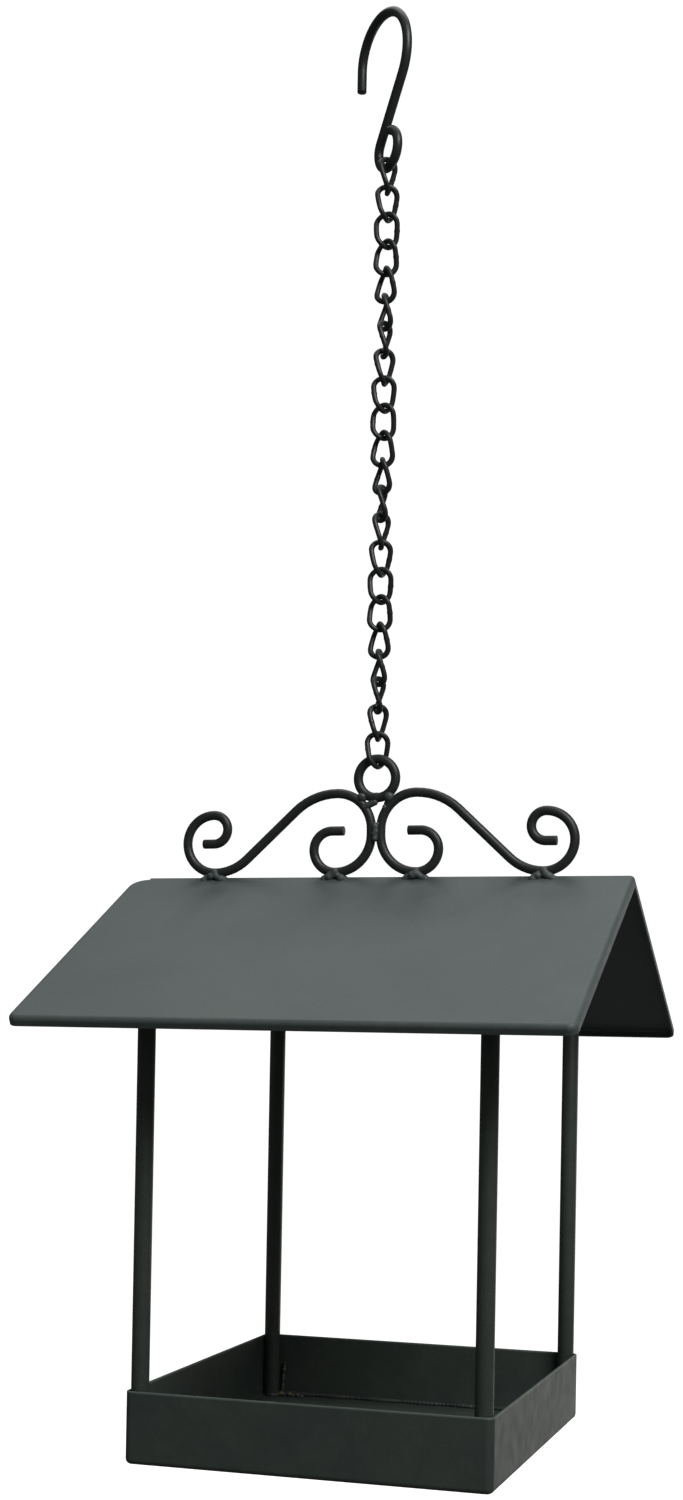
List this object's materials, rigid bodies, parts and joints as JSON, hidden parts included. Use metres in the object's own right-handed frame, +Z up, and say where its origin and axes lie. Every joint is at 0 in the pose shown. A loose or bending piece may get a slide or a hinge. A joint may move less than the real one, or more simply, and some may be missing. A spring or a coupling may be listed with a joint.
{
  "type": "hanging tray bird feeder",
  "caption": "Hanging bird feeder: a gabled steel roof on posts over an open seed tray, hung from scrolls, a curb chain and a crook hook.",
  "frame": {"origin": "seat of the hook, the lowest point inside its arch, where a branch or bracket arm carries it", "axes": "+Z up along the chain line, +X along the roof's ridge, -Y towards the front eave"},
  "size_m": [0.245, 0.2704, 0.6751],
  "materials": {
    "hook_steel": "satin black-green powder coat on 4.5 mm round bar",
    "chain_steel": "satin black powder coat on 2.6 mm wire links",
    "scroll_steel": "satin dark green-grey powder coat on bent bar",
    "roof_sheet": "mottled grey-green powder coat on folded sheet",
    "post_steel": "satin dark green-grey powder coat on 8 mm round bar",
    "tray_sheet": "satin dark grey-green powder coat on bent sheet",
    "weld_bead": "powder coat over rough weld beads"
  },
  "bodies": {
    "hook": {"hook": "hook_steel"},
    "link_01": {"link_01": "chain_steel"},
    "link_02": {"link_02": "chain_steel"},
    "link_03": {"link_03": "chain_steel"},
    "link_04": {"link_04": "chain_steel"},
    "link_05": {"link_05": "chain_steel"},
    "link_06": {"link_06": "chain_steel"},
    "link_07": {"link_07": "chain_steel"},
    "link_08": {"link_08": "chain_steel"},
    "link_09": {"link_09": "chain_steel"},
    "link_10": {"link_10": "chain_steel"},
    "link_11": {"link_11": "chain_steel"},
    "link_12": {"link_12": "chain_steel"},
    "link_13": {"link_13": "chain_steel"},
    "link_14": {"link_14": "chain_steel"},
    "link_15": {"link_15": "chain_steel"},
    "link_16": {"link_16": "chain_steel"},
    "link_17": {"link_17": "chain_steel"},
    "link_18": {"link_18": "chain_steel"},
    "link_19": {"link_19": "chain_steel"},
    "link_20": {"link_20": "chain_steel"},
    "link_21": {"link_21": "chain_steel"},
    "link_22": {"link_22": "chain_steel"},
    "house": {"ring": "hook_steel", "scroll_left": "scroll_steel", "scroll_right": "scroll_steel", "ring_welds": "weld_bead", "scroll_weld": "weld_bead", "ridge_welds": "weld_bead", "roof": "roof_sheet", "post_front_left": "post_steel", "post_front_right": "post_steel", "post_back_left": "post_steel", "post_back_right": "post_steel", "post_top_welds": "weld_bead", "post_foot_welds": "weld_bead", "tray": "tray_sheet"}
  },
  "joints": [
    {"name": "link_01_swing", "type": "hinge", "parent": "hook", "child": "link_01", "pos_m": [0, 0, -0.0715], "axis": [0.7314, -0.682, 0], "range_deg": [-100, 100]},
    {"name": "link_02_swing", "type": "hinge", "parent": "link_01", "child": "link_02", "pos_m": [0, 0, -0.08345], "axis": [0.3338, -0.9426, 0], "range_deg": [-100, 100]},
    {"name": "link_03_swing", "type": "hinge", "parent": "link_02", "child": "link_03", "pos_m": [0, 0, -0.09635], "axis": [0.1392, 0.9903, 0], "range_deg": [-100, 100]},
    {"name": "link_04_swing", "type": "hinge", "parent": "link_03", "child": "link_04", "pos_m": [0, 0, -0.10925], "axis": [-0.5807, -0.8141, 0], "range_deg": [-100, 100]},
    {"name": "link_05_swing", "type": "hinge", "parent": "link_04", "child": "link_05", "pos_m": [0, 0, -0.12215], "axis": [0.891, 0.454, 0], "range_deg": [-100, 100]},
    {"name": "link_06_swing", "type": "hinge", "parent": "link_05", "child": "link_06", "pos_m": [0, 0, -0.13505], "axis": [-1, 0.0087, 0], "range_deg": [-100, 100]},
    {"name": "link_07_swing", "type": "hinge", "parent": "link_06", "child": "link_07", "pos_m": [0, 0, -0.14795], "axis": [0.8829, -0.4695, 0], "range_deg": [-100, 100]},
    {"name": "link_08_swing", "type": "hinge", "parent": "link_07", "child": "link_08", "pos_m": [0, 0, -0.16085], "axis": [-0.5664, 0.8241, 0], "range_deg": [-100, 100]},
    {"name": "link_09_swing", "type": "hinge", "parent": "link_08", "child": "link_09", "pos_m": [0, 0, -0.17375], "axis": [0.1219, -0.9925, 0], "range_deg": [-100, 100]},
    {"name": "link_10_swing", "type": "hinge", "parent": "link_09", "child": "link_10", "pos_m": [0, 0, -0.18665], "axis": [0.3502, 0.9367, 0], "range_deg": [-100, 100]},
    {"name": "link_11_swing", "type": "hinge", "parent": "link_10", "child": "link_11", "pos_m": [0, 0, -0.19955], "axis": [-0.7431, -0.6691, 0], "range_deg": [-100, 100]},
    {"name": "link_12_swing", "type": "hinge", "parent": "link_11", "child": "link_12", "pos_m": [0, 0, -0.21245], "axis": [0.9681, 0.2504, 0], "range_deg": [-100, 100]},
    {"name": "link_13_swing", "type": "hinge", "parent": "link_12", "child": "link_13", "pos_m": [0, 0, -0.22535], "axis": [-0.9744, 0.225, 0], "range_deg": [-100, 100]},
    {"name": "link_14_swing", "type": "hinge", "parent": "link_13", "child": "link_14", "pos_m": [0, 0, -0.23825], "axis": [0.7604, -0.6494, 0], "range_deg": [-100, 100]},
    {"name": "link_15_swing", "type": "hinge", "parent": "link_14", "child": "link_15", "pos_m": [0, 0, -0.25115], "axis": [-0.3746, 0.9272, 0], "range_deg": [-100, 100]},
    {"name": "link_16_swing", "type": "hinge", "parent": "link_15", "child": "link_16", "pos_m": [0, 0, -0.26405], "axis": [-0.0958, -0.9954, 0], "range_deg": [-100, 100]},
    {"name": "link_17_swing", "type": "hinge", "parent": "link_16", "child": "link_17", "pos_m": [0, 0, -0.27695], "axis": [0.5446, 0.8387, 0], "range_deg": [-100, 100]},
    {"name": "link_18_swing", "type": "hinge", "parent": "link_17", "child": "link_18", "pos_m": [0, 0, -0.28985], "axis": [-0.8704, -0.4924, 0], "range_deg": [-100, 100]},
    {"name": "link_19_swing", "type": "hinge", "parent": "link_18", "child": "link_19", "pos_m": [0, 0, -0.30275], "axis": [0.9994, 0.0349, 0], "range_deg": [-100, 100]},
    {"name": "link_20_swing", "type": "hinge", "parent": "link_19", "child": "link_20", "pos_m": [0, 0, -0.31565], "axis": [-0.9026, 0.4305, 0], "range_deg": [-100, 100]},
    {"name": "link_21_swing", "type": "hinge", "parent": "link_20", "child": "link_21", "pos_m": [0, 0, -0.32855], "axis": [0.6018, -0.7986, 0], "range_deg": [-100, 100]},
    {"name": "link_22_swing", "type": "hinge", "parent": "link_21", "child": "link_22", "pos_m": [0, 0, -0.34145], "axis": [-0.165, 0.9863, 0], "range_deg": [-100, 100]},
    {"name": "house_swing", "type": "hinge", "parent": "link_22", "child": "house", "pos_m": [0, 0, -0.3507], "axis": [1, 0, 0], "range_deg": [-58, 58]}
  ]
}
